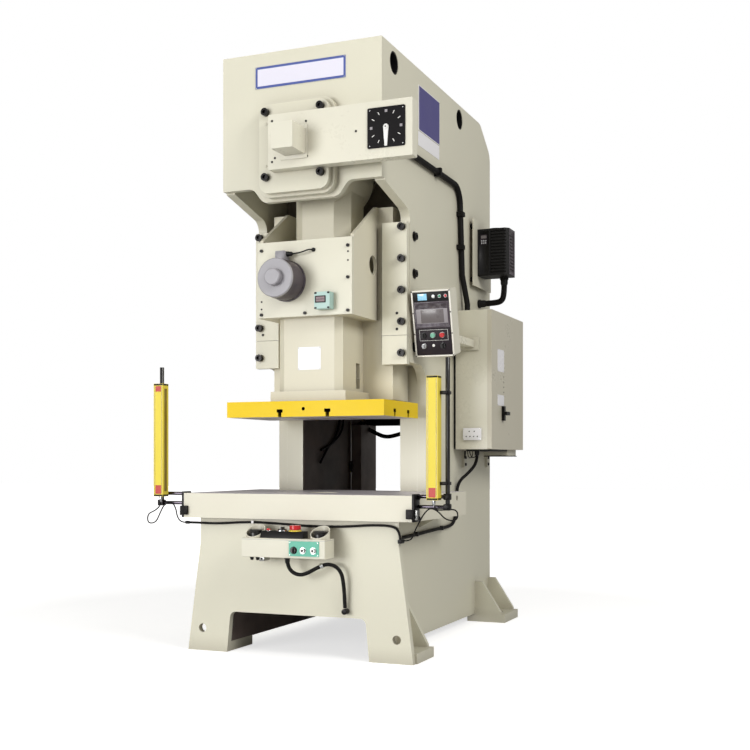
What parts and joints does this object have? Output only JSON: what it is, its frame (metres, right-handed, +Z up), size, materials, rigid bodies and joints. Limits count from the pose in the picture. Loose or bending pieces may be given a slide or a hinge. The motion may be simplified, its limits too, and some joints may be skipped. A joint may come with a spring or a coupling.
{
  "type": "mechanical stamping press",
  "caption": "Open-front gap-frame mechanical press with a crank-driven slide, bolster, light curtains, two-hand control box, operator panel and side cabinet.",
  "frame": {"origin": "middle of the four anchor bolt holes at floor level", "axes": "+Z up, -Y towards the operator at the front, +X to the operator's right"},
  "size_m": [1.7056, 2.09, 3.035],
  "materials": {
    "cream_paint": "semi-gloss cream enamel",
    "plate_paint": "semi-gloss yellow enamel",
    "ground_steel": "ground, lightly oiled",
    "black_steel": "black oxide",
    "machined_steel": "machined",
    "cast_grey": "machined cast iron",
    "motor_grey": "grey enamel",
    "counter_teal": "moulded",
    "box_cream": "semi-gloss sheet-metal box",
    "dial_black": "printed dial",
    "pointer_white": "painted",
    "blank_blue": "flat colour",
    "panel_dark": "satin film",
    "drive_black": "matt black",
    "cable_black": "rubber jacket",
    "curtain_yellow": "powder coat",
    "bright_steel": "bright rod",
    "control_grey": "semi-gloss",
    "button_black": "moulded",
    "button_red": "moulded",
    "button_green": "moulded",
    "belt_rubber": "rubber"
  },
  "bodies": {
    "frame": {"side_plates": "cream_paint", "crown_front_plate": "cream_paint", "crown_top_plate": "cream_paint", "bearing_walls": "cream_paint", "rear_plates": "cream_paint", "bed_front_plate": "cream_paint", "bed_plates": "cream_paint", "feet": "cream_paint", "bolster": "ground_steel", "gibs": "cream_paint", "frame_bolts": "black_steel", "crank_housing": "cream_paint", "crank_cover": "cream_paint", "indicator_box": "box_cream", "dial_face": "dial_black", "surface_plates": "blank_blue", "cabinet_body": "box_cream", "operator_panel": "box_cream", "panel_face": "panel_dark", "drive_unit": "drive_black", "drive_bracket": "box_cream", "drive_hose": "cable_black", "conduit": "drive_black", "curtain_stands": "bright_steel", "curtain_bodies": "curtain_yellow", "curtain_cables": "cable_black", "frame_cables": "cable_black", "control_box": "control_grey", "control_plate": "counter_teal", "control_hose": "cable_black", "motor_body": "motor_grey", "drive_belt": "belt_rubber"},
    "carrier": {"adjusting_wheel": "machined_steel"},
    "slide": {"slide_body": "cream_paint", "slide_cover": "cream_paint", "slide_plate": "plate_paint", "adjust_motor": "motor_grey", "stroke_counter": "counter_teal"},
    "knockout": {"knockout_bar": "machined_steel"},
    "crank": {"crankshaft": "machined_steel", "main_gear": "cast_grey"},
    "rod": {"con_rod": "cream_paint"},
    "pointer": {"dial_pointer": "pointer_white"},
    "pinion": {"pinion_shaft": "machined_steel"},
    "flywheel_body": {"flywheel": "cast_grey"},
    "pulley": {"motor_pulley": "cast_grey"},
    "door": {"cabinet_door": "box_cream"},
    "handle": {"door_handle": "button_black"},
    "left_palm": {"palm_button_left": "button_black"},
    "right_palm": {"palm_button_right": "button_black"},
    "stop": {"emergency_stop": "button_red"},
    "top_knob": {"control_selector": "machined_steel"},
    "front_knob": {"front_selector": "button_black"},
    "run_button": {"front_run_button": "button_green"},
    "jog_button": {"front_jog_button": "button_black"},
    "screen_knob": {"panel_selector": "button_black"},
    "start_button": {"panel_start_button": "button_green"},
    "stop_button": {"panel_stop_button": "button_red"},
    "key": {"panel_key_switch": "machined_steel"},
    "mode_knob": {"panel_mode_selector": "button_black"}
  },
  "joints": [
    {"name": "slide_stroke", "type": "slide", "parent": "frame", "child": "carrier", "axis": [0, 0, 1], "range_m": [0, 0.16]},
    {"name": "die_height_adjust", "type": "slide", "parent": "carrier", "child": "slide", "axis": [0, 0, 1], "range_m": [-0.1, 0]},
    {"name": "knockout_rise", "type": "slide", "parent": "slide", "child": "knockout", "axis": [0, 0, 1], "range_m": [0, 0.075]},
    {"name": "crank_turn", "type": "hinge", "parent": "frame", "child": "crank", "pos_m": [0, -0.505, 2.545], "axis": [0, 1, 0], "range_deg": [0, 180]},
    {"name": "rod_swing", "type": "hinge", "parent": "crank", "child": "rod", "pos_m": [0, -0.503, 2.465], "axis": [0, 1, 0], "range_deg": [-180, 0]},
    {"name": "pointer_turn", "type": "hinge", "parent": "frame", "child": "pointer", "pos_m": [0.52, -1.005, 2.545], "axis": [0, 1, 0], "range_deg": [0, 180]},
    {"name": "pinion_turn", "type": "hinge", "parent": "frame", "child": "pinion", "pos_m": [0, 0.295, 2.149], "axis": [0, 1, 0], "range_deg": [-900, 0]},
    {"name": "flywheel_spin", "type": "hinge", "parent": "frame", "child": "flywheel_body", "pos_m": [0, 0.705, 2.149], "axis": [0, 1, 0], "continuous": true},
    {"name": "motor_spin", "type": "hinge", "parent": "frame", "child": "pulley", "pos_m": [0, 0.705, 2.78], "axis": [0, 1, 0], "continuous": true},
    {"name": "cabinet_door_swing", "type": "hinge", "parent": "frame", "child": "door", "pos_m": [0.668, 0.895, 1.432], "axis": [0, 0, 1], "range_deg": [0, 110]},
    {"name": "door_handle_turn", "type": "hinge", "parent": "door", "child": "handle", "pos_m": [0.668, 0.44, 1.246], "axis": [1, 0, 0], "range_deg": [0, 90]},
    {"name": "left_palm_press", "type": "slide", "parent": "frame", "child": "left_palm", "axis": [0, 0, -1], "range_m": [0, 0.006], "stiffness_N_per_m": 900, "springref_m": -0.01},
    {"name": "right_palm_press", "type": "slide", "parent": "frame", "child": "right_palm", "axis": [0, 0, -1], "range_m": [0, 0.006], "stiffness_N_per_m": 900, "springref_m": -0.01},
    {"name": "emergency_stop_press", "type": "slide", "parent": "frame", "child": "stop", "axis": [0, 0, -1], "range_m": [0, 0.005], "stiffness_N_per_m": 900, "springref_m": -0.01},
    {"name": "top_knob_turn", "type": "hinge", "parent": "frame", "child": "top_knob", "pos_m": [-0.028, -1, 0.63], "axis": [0, 0, 1], "range_deg": [-45, 45]},
    {"name": "front_knob_turn", "type": "hinge", "parent": "frame", "child": "front_knob", "pos_m": [0.061, -1.055, 0.541], "axis": [0, -1, 0], "range_deg": [-45, 45]},
    {"name": "run_button_press", "type": "slide", "parent": "frame", "child": "run_button", "axis": [0, 1, 0], "range_m": [0, 0.004], "stiffness_N_per_m": 600, "springref_m": -0.006},
    {"name": "jog_button_press", "type": "slide", "parent": "frame", "child": "jog_button", "axis": [0, 1, 0], "range_m": [0, 0.004], "stiffness_N_per_m": 600, "springref_m": -0.006},
    {"name": "screen_knob_turn", "type": "hinge", "parent": "frame", "child": "screen_knob", "pos_m": [0.5075, -0.45489, 1.61697], "axis": [0, -0.9722, -0.2343], "range_deg": [-45, 45]},
    {"name": "start_button_press", "type": "slide", "parent": "frame", "child": "start_button", "axis": [0, 0.9722, 0.2343], "range_m": [0, 0.004], "stiffness_N_per_m": 600, "springref_m": -0.006},
    {"name": "stop_button_press", "type": "slide", "parent": "frame", "child": "stop_button", "axis": [0, 0.9722, 0.2343], "range_m": [0, 0.004], "stiffness_N_per_m": 600, "springref_m": -0.006},
    {"name": "key_turn", "type": "hinge", "parent": "frame", "child": "key", "pos_m": [0.5075, -0.44201, 1.5635], "axis": [0, -0.9722, -0.2343], "range_deg": [0, 90]},
    {"name": "mode_knob_turn", "type": "hinge", "parent": "frame", "child": "mode_knob", "pos_m": [0.6095, -0.44201, 1.5635], "axis": [0, -0.9722, -0.2343], "range_deg": [-45, 45]}
  ],
  "couplings": [
    {"joint": "crank_turn", "follows": "slide_stroke", "rad_per_m": 19.635},
    {"joint": "rod_swing", "follows": "slide_stroke", "rad_per_m": -19.635},
    {"joint": "pointer_turn", "follows": "slide_stroke", "rad_per_m": 19.635},
    {"joint": "pinion_turn", "follows": "slide_stroke", "rad_per_m": -98.174},
    {"joint": "motor_spin", "follows": "flywheel_spin", "ratio": 4}
  ]
}
